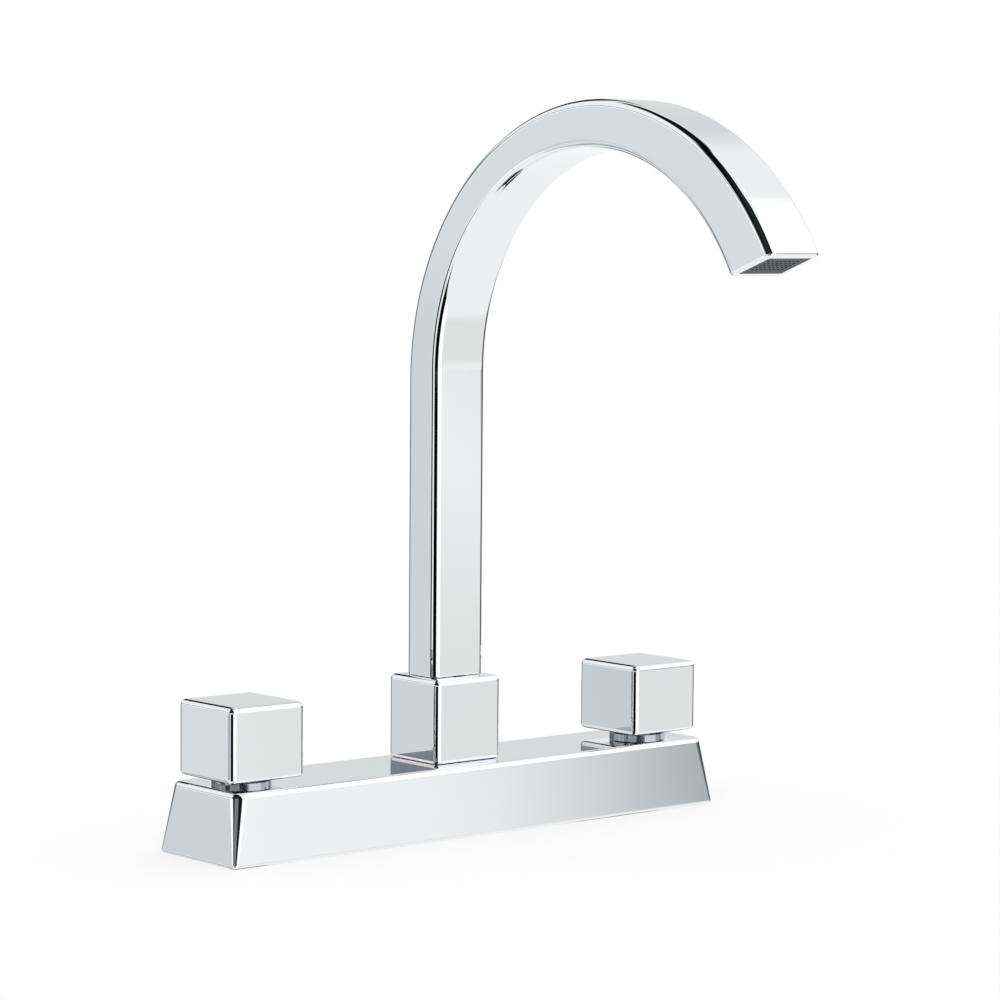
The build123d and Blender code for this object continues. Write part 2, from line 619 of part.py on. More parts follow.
# ---------------------------------------------------------------- spout
def spout_outline(inset):
    """Side view of the spout in Y and Z, drawn in from the real outline by a wall."""
    front = FRONT_Y + inset
    back = BACK_Y - inset
    inner_arc = arc_towards(INNER_CENTRE, INNER_RADIUS + inset, INNER_TIP)
    outer_arc = arc_towards(OUTER_CENTRE, OUTER_RADIUS - inset, OUTER_TIP)
    lines = [
        Line((front, SPOUT_Z), (front, BEND_START)),
        inner_arc,
        Line(inner_arc @ 1, outer_arc @ 1),
        outer_arc,
        Line((back, OUTER_CENTRE[1]), (back, SPOUT_Z)),
        Line((back, SPOUT_Z), (front, SPOUT_Z)),
    ]
    return Plane.YZ * make_face(Curve() + lines)


def arc_towards(centre, radius, towards):
    """Arc from the upright tangent at the centre's right, over the top, to the direction of a point."""
    end = Vector(towards[0] - centre[0], towards[1] - centre[1]).normalized()
    middle = (end + Vector(1, 0)).normalized()
    return ThreePointArc(
        (centre[0] + radius, centre[1]),
        (centre[0] + radius * middle.X, centre[1] + radius * middle.Y),
        (centre[0] + radius * end.X, centre[1] + radius * end.Y),
    )


def long_edges(solid, half_width):
    """Edges along the spout's four corners, without those at its foot and its mouth."""
    sides = [edge for edge in solid.edges() if abs(abs(edge.center().X) - half_width) < 1e-3]
    foot = [edge for edge in sides if abs(edge.center().Z - SPOUT_Z) < 1e-3]
    mouth = [edge for edge in sides if abs(MOUTH.to_local_coords(edge.center()).Z) < 1e-3]
    return [edge for edge in sides if edge not in foot and edge not in mouth]


def spout_tube():
    """Hollow spout: straight column, arch that swells to the tip, and rectangular mouth."""
    outer = extrude(spout_outline(0), SPOUT_WIDTH / 2, both=True)
    outer = fillet(long_edges(outer, SPOUT_WIDTH / 2), SPOUT_EDGE_R)
    tip_face = outer.faces().sort_by(lambda face: abs(MOUTH.to_local_coords(face.center()).Z))[0]
    outer = fillet(tip_face.edges(), TIP_EDGE_R)
    outer = fillet(outer.faces().sort_by(Axis.Z)[0].edges(), SPOUT_FOOT_R)
    cavity = extrude(spout_outline(SPOUT_WALL), SPOUT_WIDTH / 2 - SPOUT_WALL, both=True)
    tip_zone = Box(SPOUT_WIDTH, 2 * TIP_THICKNESS, INNER_RADIUS / 2, align=TOP)
    cavity -= MOUTH.offset(TIP_BLOCK) * tip_zone
    pocket = MOUTH * Box(MOUTH_WIDTH, MOUTH_LENGTH, MOUTH_DEPTH, align=BASE)
    throat_width = MOUTH_WIDTH - 2 * MOUTH_LEDGE
    throat_length = MOUTH_LENGTH - 2 * MOUTH_LEDGE
    throat = MOUTH * Box(throat_width, throat_length, TIP_BLOCK + PAST, align=BASE)
    return outer - cavity - pocket - throat


def spout_plug():
    """Brass plug brazed into the column's foot, bored for the journal's spigot."""
    width = SPOUT_WIDTH - 2 * SPOUT_WALL - 2 * THREAD_GAP
    depth = SPOUT_THICKNESS - 2 * SPOUT_WALL - 2 * THREAD_GAP
    plug = block(width, depth, SPOUT_Z, SPOUT_Z + PLUG_HEIGHT)
    return Pos(0, HUB_SETBACK, 0) * (plug - rod(SPIGOT_R + THREAD_GAP, SPOUT_Z, SPOUT_Z + PLUG_HEIGHT))


# ---------------------------------------------------------------- outlet
def outlet_seal():
    """Rubber frame on the ledge behind the screen."""
    width = MOUTH_WIDTH - 2 * SLIP_GAP
    length = MOUTH_LENGTH - 2 * SLIP_GAP
    border = 2 * (MOUTH_LEDGE - SLIP_GAP)
    frame = Box(width, length, OUTLET_SEAL_THICKNESS, align=BASE)
    frame -= Box(width - border, length - border, OUTLET_SEAL_THICKNESS, align=BASE)
    return MOUTH.offset(MOUTH_DEPTH - OUTLET_SEAL_THICKNESS) * frame


def outlet_screen():
    """Thin slotted plate between the insert and the seal."""
    width = MOUTH_WIDTH - 2 * SLIP_GAP
    length = MOUTH_LENGTH - 2 * SLIP_GAP
    plate = Box(width, length, SCREEN_THICKNESS, align=BASE)
    count = int((width - 2 * SCREEN_BORDER) / SCREEN_PITCH)
    slot = Box(SCREEN_SLOT, length - 2 * SCREEN_BORDER, SCREEN_THICKNESS, align=BASE)
    plate -= GridLocations(SCREEN_PITCH, 1, count, 1) * slot
    return MOUTH.offset(MOUTH_DEPTH - OUTLET_SEAL_THICKNESS - SCREEN_THICKNESS) * plate


def outlet_insert():
    """Dark flow straightener in the mouth, with a grid of small holes."""
    width = MOUTH_WIDTH - 2 * SLIP_GAP
    length = MOUTH_LENGTH - 2 * SLIP_GAP
    depth = MOUTH_DEPTH - OUTLET_SEAL_THICKNESS - SCREEN_THICKNESS - INSERT_RECESS
    plate = Box(width, length, depth, align=BASE)
    columns = int((width - 2 * INSERT_PITCH) / INSERT_PITCH)
    rows = int((length - 2 * INSERT_PITCH) / INSERT_PITCH)
    hole = Box(INSERT_HOLE, INSERT_HOLE, depth, align=BASE)
    plate -= GridLocations(INSERT_PITCH, INSERT_PITCH, columns, rows) * hole
    return MOUTH.offset(INSERT_RECESS) * plate


# ---------------------------------------------------------------- assembly
def valve_pieces():
    """Pieces of one valve, on the Z axis with the tube boss towards +X."""
    return {
        "valve_body": valve_body(),
        "inlet_shank": inlet_shank(),
        "mounting_washer": mounting_washer(),
        "lock_nut": lock_nut(),
        "seat_seal": seat_seal(),
        "fixed_disc": fixed_disc(),
        "turning_disc": turning_disc(),
        "cartridge_body": cartridge_body(),
        "cartridge_o_ring": cartridge_o_ring(),
        "gland_nut": gland_nut(),
        "stem": stem(),
        "stem_o_rings": stem_o_rings(),
        "collar": collar(),
        "neck_ring": neck_ring(),
        "handle_cube": handle_cube(),
        "handle_screw": handle_screw(),
    }


def all_pieces():
    """Every node of the faucet by name."""
    pieces = {
        "deck_cover": deck_cover(),
        "deck_gasket": deck_gasket(),
        "centre_body": centre_body(),
        "left_cross_tube": cross_tube(),
        "right_cross_tube": mirror(cross_tube(), about=Plane.YZ),
        "hub_block": hub_block(),
        "hub_seal": hub_seal(),
        "swivel_bush": swivel_bush(),
        "keeper_screw": keeper_screw(),
        "spout_journal": spout_journal(),
        "spout_o_rings": spout_o_rings(),
        "spout_plug": spout_plug(),
        "spout_tube": spout_tube(),
        "outlet_seal": outlet_seal(),
        "outlet_screen": outlet_screen(),
        "outlet_insert": outlet_insert(),
    }
    for name, piece in valve_pieces().items():
        left = Pos(-HANDLE_X, 0, 0) * piece
        pieces["left_" + name] = left
        pieces["right_" + name] = mirror(left, about=Plane.YZ)
    return pieces


for node, solid in all_pieces().items():
    export_step(solid, f"parts/{node}.step")
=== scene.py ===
import json
from math import atan2, cos, pi, radians, sin, sqrt, tau

import bpy
from mathutils import Matrix, Vector
from mathutils.geometry import tessellate_polygon


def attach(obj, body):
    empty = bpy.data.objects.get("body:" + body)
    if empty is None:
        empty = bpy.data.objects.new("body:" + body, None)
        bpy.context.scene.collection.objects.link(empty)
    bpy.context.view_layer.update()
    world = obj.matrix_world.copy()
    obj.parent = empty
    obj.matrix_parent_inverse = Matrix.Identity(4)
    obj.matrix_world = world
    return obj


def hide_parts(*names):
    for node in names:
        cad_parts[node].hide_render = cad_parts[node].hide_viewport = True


# Two handle kitchen faucet, shown in polished chrome on a pale floor.
# Lengths below are millimetres unless a name says otherwise.

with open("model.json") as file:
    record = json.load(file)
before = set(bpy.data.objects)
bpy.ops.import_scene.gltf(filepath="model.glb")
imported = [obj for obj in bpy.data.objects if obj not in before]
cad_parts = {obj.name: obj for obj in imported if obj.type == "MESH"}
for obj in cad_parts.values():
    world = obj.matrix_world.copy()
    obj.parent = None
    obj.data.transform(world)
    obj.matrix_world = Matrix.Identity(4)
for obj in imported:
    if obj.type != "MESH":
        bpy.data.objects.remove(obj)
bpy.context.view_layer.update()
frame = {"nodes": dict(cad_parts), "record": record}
scene = bpy.context.scene
MM = 0.001


# ---------------------------------------------------------------- helpers
def linear(hex_colour):
    """sRGB hex colour to linear RGBA."""
    channels = []
    for i in (1, 3, 5):
        value = int(hex_colour[i:i + 2], 16) / 255
        channels.append(value / 12.92 if value <= 0.04045 else ((value + 0.055) / 1.055) ** 2.4)
    return (*channels, 1.0)


def add(tree, kind, *inputs, out=0, **settings):
    """Add a shader node with its settings and links, and give one of its outputs. The inputs come
    in the order of its sockets, or in a dict by name or number."""
    node = tree.nodes.new("ShaderNode" + kind)
    for name, value in settings.items():
        setattr(node, name, value)
    by_name = inputs and isinstance(inputs[0], dict)
    for key, value in inputs[0].items() if by_name else enumerate(inputs):
        if isinstance(value, bpy.types.NodeSocket):
            tree.links.new(value, node.inputs[key])
        else:
            node.inputs[key].default_value = value
    return node.outputs[out] if len(node.outputs) else None


def grain(tree, place, width, stretch=(1, 1, 1), detail=3.0, roughness=0.5):
    """Spots from 0 to 1 that are about width across, and longer by stretch along X, Y and Z."""
    scale = [1 / (width * MM * longer) for longer in stretch]
    sized = add(tree, "Mapping", {"Vector": place, "Scale": scale})
    spots = {"Vector": sized, "Scale": 1.0, "Detail": detail, "Roughness": roughness}
    return add(tree, "TexNoise", spots)


def bare_material(name):
    """An empty material, its tree and its place coordinate in metres in the faucet's own frame."""
    material = bpy.data.materials.new(name)
    material.use_nodes = True
    tree = material.node_tree
    tree.nodes.clear()
    return material, tree, add(tree, "TexCoord", out="Object")


def finished(material, tint, tints, wear, rough, relief, depth, span=(0.3, 0.7), metallic=0.0):
    """The material with its shader: a first pattern mixes its two tints, a second one within its
    span leads from one roughness to the other, and a third one stands out by depth."""
    tree = material.node_tree
    low, high = (linear(colour) for colour in tints)
    base = add(tree, "Mix", {0: tint, 6: low, 7: high}, out=2, data_type="RGBA")
    roughness = add(tree, "MapRange", wear, *span, *rough, interpolation_type="SMOOTHSTEP")
    normal = add(tree, "Bump", {"Height": relief, "Distance": depth * MM, "Strength": 1.0})
    shader = add(tree, "BsdfPrincipled", {
        "Base Color": base, "Metallic": metallic, "Roughness": roughness, "Normal": normal,
    })
    add(tree, "OutputMaterial", shader)
    return material


# ---------------------------------------------------------------- materials
def chrome_plate(name="chrome_plate_mirror_polished", rough=(0.012, 0.045),
                 tints=("#EAEBED", "#F0F1F2")):
    # Bright nickel-chrome plate: a mirror with the faintest polishing haze and waviness.
    material, tree, place = bare_material(name)
    haze = grain(tree, place, 9, stretch=(1, 1, 3.5), detail=4)
    wipes = grain(tree, place, 1.6, stretch=(1, 1, 14), detail=2)
    return finished(
        material, tint=grain(tree, place, 38, detail=2), tints=tints,
        wear=add(tree, "Math", haze, wipes, operation="MULTIPLY"), span=(0.18, 0.42), rough=rough,
        relief=grain(tree, place, 16, detail=1), depth=0.0022, metallic=1.0,
    )


def turned_brass():
    # Turned brass: fine rings left by the tool, a little tarnish between them.
    material, tree, place = bare_material("turned_brass")
    rings = grain(tree, place, 0.28, stretch=(60, 60, 1), detail=1)
    return finished(
        material, tint=grain(tree, place, 7, detail=5), tints=("#C2A05A", "#D6B973"),
        wear=rings, rough=(0.2, 0.36), relief=rings, depth=0.006, metallic=1.0,
    )


def cast_brass():
    # Cast brass of the bodies under the cover: a sand-blasted skin with stains.
    material, tree, place = bare_material("cast_brass_blasted")
    skin = grain(tree, place, 0.6, detail=5, roughness=0.65)
    return finished(
        material, tint=grain(tree, place, 11, detail=4), tints=("#A98747", "#C7A660"),
        wear=skin, rough=(0.4, 0.52), relief=skin, depth=0.05, metallic=1.0,
    )


VALVE_X = 101.6
SHANK_R = 10.3
THREAD_PITCH = 1.814
THREAD_TOP = -1.0


def threaded_brass():
    # Turned brass of the inlet shanks, with a cut half-inch thread that ends under the gasket. The
    # teeth stand out only on the shank's outer wall.
    material, tree, place = bare_material("turned_brass_with_cut_thread")
    stain = grain(tree, place, 7, detail=5)
    x, y, z = add(tree, "SeparateXYZ", place, out=slice(3))
    x = add(tree, "Math", x, operation="ABSOLUTE")
    x = add(tree, "Math", x, VALVE_X * MM, operation="SUBTRACT")
    turn = add(tree, "Math", y, x, operation="ARCTAN2")
    turn = add(tree, "Math", turn, tau, operation="DIVIDE")
    lead = add(tree, "Math", z, 1 / (THREAD_PITCH * MM), turn, operation="MULTIPLY_ADD")
    tooth = add(tree, "Math", lead, 0.5, operation="PINGPONG")
    from_axis = add(tree, "CombineXYZ", x, y)
    radius = add(tree, "VectorMath", from_axis, out="Value", operation="LENGTH")
    for at, low, high, ends in (
        (radius, SHANK_R - 0.6, SHANK_R - 0.3, (0.0, 1.0)),
        (radius, SHANK_R + 0.1, SHANK_R + 0.3, (1.0, 0.0)),
        (z, THREAD_TOP - 0.6, THREAD_TOP, (1.0, 0.0)),
    ):
        share = add(
            tree, "MapRange", at, low * MM, high * MM, *ends, interpolation_type="SMOOTHSTEP",
        )
        tooth = add(tree, "Math", tooth, share, operation="MULTIPLY")
    return finished(
        material, tint=stain, tints=("#B8964F", "#D2B46C"), wear=stain, rough=(0.2, 0.34),
        relief=tooth, depth=1.4, metallic=1.0,
    )


def drawn_copper():
    # Drawn copper tube: fine lines along the tube and patches of brown oxide.
    material, tree, place = bare_material("drawn_copper_tube")
    oxide = add(
        tree, "MapRange", grain(tree, place, 9, detail=6), 0.35, 0.7, 0.0, 1.0,
        interpolation_type="SMOOTHSTEP",
    )
    return finished(
        material, tint=oxide, tints=("#C58060", "#8F5238"),
        wear=oxide, span=(0.0, 1.0), rough=(0.22, 0.4),
        relief=grain(tree, place, 0.3, stretch=(90, 1, 1), detail=2), depth=0.008, metallic=1.0,
    )


def zinc_plate():
    # Zinc-plated steel washers: pale grey with a faint blue and yellow cast and a punched grain.
    material, tree, place = bare_material("zinc_plated_steel")
    punched = grain(tree, place, 0.5, detail=4, roughness=0.6)
    return finished(
        material, tint=grain(tree, place, 6, detail=3), tints=("#A9AFB8", "#BDBBAE"),
        wear=punched, rough=(0.26, 0.42), relief=punched, depth=0.02, metallic=1.0,
    )


def stainless_steel():
    # Stainless steel of the screws and the outlet screen: fine brushed lines.
    material, tree, place = bare_material("stainless_steel_brushed")
    lines = grain(tree, place, 0.2, stretch=(1, 30, 1), detail=2)
    return finished(
        material, tint=grain(tree, place, 4), tints=("#A9AAAA", "#BCBCBA"),
        wear=lines, rough=(0.2, 0.36), relief=lines, depth=0.005, metallic=1.0,
    )


def moulded_rubber():
    # Black moulded rubber: matt, slightly dusty, with a fine mould texture.
    material, tree, place = bare_material("black_moulded_rubber")
    dust = add(
        tree, "MapRange", grain(tree, place, 5, detail=6), 0.45, 0.75, 0.0, 1.0,
        interpolation_type="SMOOTHSTEP",
    )
    return finished(
        material, tint=dust, tints=("#151516", "#232324"),
        wear=dust, span=(0.0, 1.0), rough=(0.5, 0.68),
        relief=grain(tree, place, 0.35, detail=4), depth=0.02,
    )


def lapped_ceramic():
    # Lapped alumina: off-white and dense, glossy, with tiny pores.
    material, tree, place = bare_material("lapped_alumina_ceramic")
    body = grain(tree, place, 3, detail=4)
    pores = add(
        tree, "MapRange", grain(tree, place, 0.25, detail=2), 0.2, 0.34, 0.0, 1.0,
        interpolation_type="SMOOTHSTEP",
    )
    return finished(
        material, tint=body, tints=("#E2E0D8", "#ECEBE5"), wear=body, rough=(0.12, 0.2),
        relief=pores, depth=0.01,
    )


def black_acetal():
    # Black acetal of the swivel bush: waxy, turned, with faint rings.
    material, tree, place = bare_material("black_acetal_turned")
    rings = grain(tree, place, 0.25, stretch=(60, 60, 1), detail=1)
    return finished(
        material, tint=grain(tree, place, 5), tints=("#131314", "#1D1D1F"),
        wear=rings, rough=(0.32, 0.46), relief=rings, depth=0.006,
    )


def outlet_plastic():
    # Dark grey moulded plastic of the outlet insert: finely spark-eroded face.
    material, tree, place = bare_material("dark_grey_moulded_plastic")
    eroded = grain(tree, place, 0.18, detail=3)
    return finished(
        material, tint=grain(tree, place, 4, detail=4), tints=("#2C3033", "#373B3F"),
        wear=eroded, rough=(0.42, 0.6), relief=eroded, depth=0.012,
    )


BY_SLOT = {
    "chrome": chrome_plate(), "brass": turned_brass(), "copper": drawn_copper(),
    "steel": zinc_plate(), "stainless": stainless_steel(), "rubber": moulded_rubber(),
    "ceramic": lapped_ceramic(), "bush_plastic": black_acetal(),
    "outlet_plastic": outlet_plastic(),
}
CAST = cast_brass()
# The turned rings of the necks were plated over their tool marks, so they mirror less sharply. Their
# colour is also painted darker than the mirror plate, as painted shade for the gaps where the necks
# and collars sit.
SHADED_RING_CHROME = chrome_plate("satin_chrome_rings_painted_shade", (0.13, 0.2), ("#B6BBBF", "#C2C7CA"))
BY_NODE = {
    "neck_ring": SHADED_RING_CHROME, "collar": SHADED_RING_CHROME, "valve_body": CAST, "centre_body": CAST,
    "inlet_shank": threaded_brass(),
}

for part in frame["record"]["subparts"]:
    node = frame["nodes"][part["node"]]
    node.data.materials.clear()
    either_side = part["node"].removeprefix("left_").removeprefix("right_")
    node.data.materials.append(BY_NODE.get(either_side, BY_SLOT[part["material_slot"]]))


# ---------------------------------------------------------------- fine chrome pieces
# Long mirror faces and rounded edges show every facet. So the spout and the deck cover are drawn
# again here from their own sizes, with the exact normal at each point. They are made of closed
# rows of points with their normals. A break in the normals is two rows at one place.
SAME_PLACE = 1e-6
ACROSS = Vector((1, 0, 0))
UP = Vector((0, 0, 1))


class Skin:
    """Points with their normals, and the faces between them."""

    def __init__(self):
        self.points = []
        self.normals = []
        self.faces = []

    def add_points(self, row):
        first = len(self.points)
        self.points += [point for point, _ in row]
        self.normals += [normal for _, normal in row]
        return first

    def add_rows(self, rows):
        """Bands of faces between rows with the same number of points."""
        count = len(rows[0])
        firsts = [self.add_points(row) for row in rows]
        for i, (first, after) in enumerate(zip(firsts, firsts[1:])):
            apart = [(rows[i][j][0] - rows[i + 1][j][0]).length for j in (0, count // 2)]
            if max(apart) < SAME_PLACE:
                continue
            for j in range(count):
                k = (j + 1) % count
                self.faces.append((first + j, first + k, after + k, after + j))

    def add_plate(self, loops, normal):
        """A flat face inside the first loop and outside the others."""
        loops = [[point for point, _ in loop] for loop in loops]
        points = [point for loop in loops for point in loop]
        first = self.add_points([(point, normal) for point in points])
        for corners in tessellate_polygon(loops):
            one, two, three = (points[corner] for corner in corners)
            turned = (two - one).cross(three - one).dot(normal) < 0
            face = [first + corner for corner in corners]
            self.faces.append(tuple(reversed(face)) if turned else tuple(face))

    def build(self, name, body, replaced):
        mesh = bpy.data.meshes.new(name)
        mesh.from_pydata([point * MM for point in self.points], [], self.faces)
        for polygon in mesh.polygons:
            polygon.use_smooth = True
        mesh.normals_split_custom_set([self.normals[loop.vertex_index] for loop in mesh.loops])
        mesh.materials.append(BY_SLOT["chrome"])
        piece = bpy.data.objects.new(name, mesh)
        scene.collection.objects.link(piece)
        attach(piece, body)
        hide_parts(replaced)


def roll_over(spine, radius, end, steps):
    """Rows of a round along a spine that rolls from its normals to one flat direction."""
    rows = []
    for step in range(steps + 1):
        row = []
        for centre, normal in spine:
            angle = normal.angle(end) * step / steps
            sideways = (end - normal * normal.dot(end)).normalized()
            way = normal * cos(angle) + sideways * sin(angle)
            row.append((centre + way * radius, way))
        rows.append(row)
    return rows


# ---------------------------------------------------------------- spout
# The spout is swept along its own arcs. They are drawn in Y and Z, with X across. The outer arc
# runs from the column's back to the mouth's outer edge and has its top at the crown.
HALF_WIDTH = 12.85
WALL = 1.8
CORNER_R = 3.0
CORNER_STEPS = 10
FOOT_Z = 61.3
FOOT_R = 0.3
FOOT_STEPS = 3
FRONT_Y = -6.4
BACK_Y = 11.6
BEND_Z = 182.0
CROWN_Z = 286.47
INNER_R = 86.5
INNER_SWEEP = radians(152.5)
TIP_THICKNESS = 23.3
MOUTH_ANGLE = radians(180 - 20.3)
TIP_R = 1.2
TIP_STEPS = 6
BORE_DEPTH = 30.0       # from the foot up to the plug
BORE_CORNER_R = 0.3
MOUTH_HALF = (10.75, 8.25)
MOUTH_CORNER_R = 0.5
MOUTH_EDGE_R = 0.2
MOUTH_EDGE_STEPS = 3
POCKET_DEPTH = 6.0
POCKET_CORNER_R = 0.4
LEDGE = 1.8
THROAT_DEPTH = 12.0
COLUMN_ROWS = (80, 100, 120, 140, 160, 175)
ARC_ROWS = 132
LAST_ROW_GAP = 1.95     # along the outer arc, from its last row to the mouth's edge
LEAN_START = 0.72       # share of the arc after which its rows turn to lie along the mouth

FLAT = 0.0              # normals that point out of an opening's plane
SIDEWAYS = pi / 2       # normals that point to its middle


def upright(y, z):
    return Vector((0, y, z))


inner_centre = upright(FRONT_Y - INNER_R, BEND_Z)
inner_tip = inner_centre + INNER_R * upright(cos(INNER_SWEEP), sin(INNER_SWEEP))
mouth_along = upright(cos(MOUTH_ANGLE), sin(MOUTH_ANGLE))
mouth_out = upright(-sin(MOUTH_ANGLE), cos(MOUTH_ANGLE))
outer_tip = inner_tip + TIP_THICKNESS * mouth_along
mouth_centre = (inner_tip + outer_tip) / 2
run, rise = BACK_Y - outer_tip.y, CROWN_Z - outer_tip.z
OUTER_R = run + rise - sqrt(2 * run * rise)
outer_centre = upright(BACK_Y - OUTER_R, CROWN_Z - OUTER_R)
LEVEL = upright(1, 0)
MOUTH = (mouth_centre, mouth_along, mouth_out)
FOOT = (upright((FRONT_Y + BACK_Y) / 2, FOOT_Z), LEVEL, -UP)


def on_rail(centre, radius, point, along):
    """Where a line meets an arc with an upright run below it, and the arc's normal there."""
    on_column = point + along * ((centre.y + radius - point.y) / along.y)
    if on_column.z < centre.z and along.y > 0:
        return on_column, LEVEL
    start = point - centre
    half = start.dot(along)
    meet = point + along * (sqrt(half * half - start.length_squared + radius * radius) - half)
    return meet, (meet - centre).normalized()


def corner_walk():
    """The four corners of a section in turn: its side, its inner or outer face, and the turn."""
    turns = [step / CORNER_STEPS * pi / 2 for step in range(CORNER_STEPS + 1)]
    for side, face in ((1, -1), (1, 1), (-1, 1), (-1, -1)):
        for turn in turns if side == face else reversed(turns):
            yield side, face, turn


def section(point, along, shrink=0.0):
    """A row round the spout, where the plane through a point and along a line cuts it."""
    row = []
    corner = CORNER_R - shrink
    for side, face, turn in corner_walk():
        centre, wall = (outer_centre, OUTER_R) if face == 1 else (inner_centre, INNER_R)
        radius = wall + face * (corner * sin(turn) - CORNER_R)
        meet, normal = on_rail(centre, radius, point, along)
        meet.x = side * (HALF_WIDTH - CORNER_R + corner * cos(turn))
        row.append((meet, side * cos(turn) * ACROSS + face * sin(turn) * normal))
    return row


def end_round(plane, radius, steps):
    """Rows that roll from the spout's walls over to a flat end."""
    point, along, out = plane
    return roll_over(section(point - out * radius, along, shrink=radius), radius, out, steps)


def opening(plane, half, depth, corner, tilt):
    """A row round a rectangular opening. Its normals lie between FLAT and SIDEWAYS."""
    row = []
    point, along, out = plane
    for side, face, turn in corner_walk():
        away = side * cos(turn) * ACROSS + face * sin(turn) * along
        centre = side * (half[0] - corner) * ACROSS + face * (half[1] - corner) * along
        normal = cos(tilt) * out - sin(tilt) * away
        row.append((point - out * depth + centre + corner * away, normal))
    return row


def spout():
    bore = (HALF_WIDTH - WALL, (BACK_Y - FRONT_Y) / 2 - WALL)
    rows = [
        opening(FOOT, bore, BORE_DEPTH, BORE_CORNER_R, FLAT),
        opening(FOOT, bore, BORE_DEPTH, BORE_CORNER_R, SIDEWAYS),
        opening(FOOT, bore, 0.0, BORE_CORNER_R, SIDEWAYS),
        opening(FOOT, bore, 0.0, BORE_CORNER_R, FLAT),
    ]
    rows += reversed(end_round(FOOT, FOOT_R, FOOT_STEPS))
    rows += [section(upright(BACK_Y, z), LEVEL) for z in COLUMN_ROWS]
    tip_turn = atan2(outer_tip.z - outer_centre.z, outer_tip.y - outer_centre.y)
    last_turn = tip_turn - LAST_ROW_GAP / OUTER_R
    for step in range(ARC_ROWS + 1):
        share = step / ARC_ROWS
        turn = last_turn * share
        lean = max(0.0, (share - LEAN_START) / (1 - LEAN_START))
        lean = lean * lean * (3 - 2 * lean) * (MOUTH_ANGLE - last_turn)
        point = outer_centre + OUTER_R * upright(cos(turn), sin(turn))
        rows.append(section(point, upright(cos(turn + lean), sin(turn + lean))))
    rows += end_round(MOUTH, TIP_R, TIP_STEPS)
    for step in range(MOUTH_EDGE_STEPS + 1):
        tilt = step / MOUTH_EDGE_STEPS * SIDEWAYS
        grown = [half + MOUTH_EDGE_R * (1 - sin(tilt)) for half in MOUTH_HALF]
        depth = MOUTH_EDGE_R * (1 - cos(tilt))
        rows.append(opening(MOUTH, grown, depth, MOUTH_CORNER_R, tilt))
    throat = [half - LEDGE for half in MOUTH_HALF]
    rows += [opening(MOUTH, half, depth, POCKET_CORNER_R, tilt) for half, depth, tilt in (
        (MOUTH_HALF, POCKET_DEPTH, SIDEWAYS), (MOUTH_HALF, POCKET_DEPTH, FLAT),
        (throat, POCKET_DEPTH, FLAT), (throat, POCKET_DEPTH, SIDEWAYS),
        (throat, THROAT_DEPTH, SIDEWAYS), (throat, THROAT_DEPTH, FLAT),
    )]
    skin = Skin()
    skin.add_rows(rows)
    skin.add_plate([rows[0]], -UP)
    skin.add_plate([rows[-1]], mouth_out)
    skin.build("spout_swept_tube", "spout", "spout_tube")


spout()


# ---------------------------------------------------------------- deck cover
# The cover's walls lean in and its corners widen towards the top. Rounds roll along its edges.
COVER_HALF = (122.5, 24.3)
COVER_LEAN = (3.2, 2.8)
COVER_TOP = 27.8
COVER_CORNER = (1.5, 5.0)
COVER_WALL = 2.0
COVER_INNER_CORNER = (0.8, 3.0)
COVER_RIM_R = 2.3
COVER_FOOT_R = 1.4
CORNER_TURNS = 28
ROLL_STEPS = 10
HOLE_R = 10.1
HOLES = ((-101.6, 0.0), (101.6, 0.0), (0.0, 2.6))
HOLE_STEPS = 64


def cover_ring(half, lean, corner, height, z, roll=0.0):
    """A row round a leaning wall at one height, or on the surface that lies inside it by the
    radius of a round and passes through that height."""
    row = []
    grow = corner[1] - corner[0]
    for quarter, side in enumerate(((1, 1), (-1, 1), (-1, -1), (1, -1))):
        for step in range(CORNER_TURNS + 1):
            turn = (quarter + step / CORNER_TURNS) * pi / 2
            away = Vector((cos(turn), sin(turn), 0))
            slope = (lean[0] + grow) * abs(away.x) + (lean[1] + grow) * abs(away.y) - grow
            normal = (away + UP * slope / height).normalized()
            share = (z + roll * normal.z) / height
            radius = corner[0] + grow * share
            x, y = (way * (a - b * share - radius) for way, a, b in zip(side, half, lean))
            row.append((Vector((x, y, share * height)) + away * radius - normal * roll, normal))
    return row


def cover_hole(x, y, z, way):
    """A row round a hole in the cover's top, with normals to its axis or one way."""
    row = []
    for step in range(HOLE_STEPS):
        turn = tau * step / HOLE_STEPS
        away = Vector((cos(turn), sin(turn), 0))
        row.append((Vector((x, y, z)) + away * HOLE_R, way or -away))
    return row


def deck_cover():
    height = COVER_TOP - COVER_WALL
    outer = (COVER_HALF, COVER_LEAN, COVER_CORNER, COVER_TOP)
    inner = (
        [size - COVER_WALL for size in COVER_HALF],
        [size * height / COVER_TOP for size in COVER_LEAN], COVER_INNER_CORNER, height,
    )
    ceiling, inner_foot = (cover_ring(*inner, z) for z in (height, 0))
    foot = cover_ring(*outer, COVER_FOOT_R, COVER_FOOT_R)
    rim = cover_ring(*outer, COVER_TOP - COVER_RIM_R, COVER_RIM_R)
    rows = [
        [(point, -normal) for point, normal in ceiling],
        [(point, -normal) for point, normal in inner_foot],
        [(point, -UP) for point, _ in inner_foot],
    ]
    rows += reversed(roll_over(foot, COVER_FOOT_R, -UP, ROLL_STEPS))
    rows += roll_over(rim, COVER_RIM_R, UP, ROLL_STEPS)
    skin = Skin()
    skin.add_rows(rows)
    skin.add_plate([rows[-1], *(cover_hole(x, y, COVER_TOP, UP) for x, y in HOLES)], UP)
    skin.add_plate([ceiling, *(cover_hole(x, y, height, UP) for x, y in HOLES)], -UP)
    for x, y in HOLES:
        skin.add_rows([cover_hole(x, y, z, None) for z in (COVER_TOP, height)])
    skin.build("deck_cover_leaning_shell", "base", "deck_cover")


deck_cover()


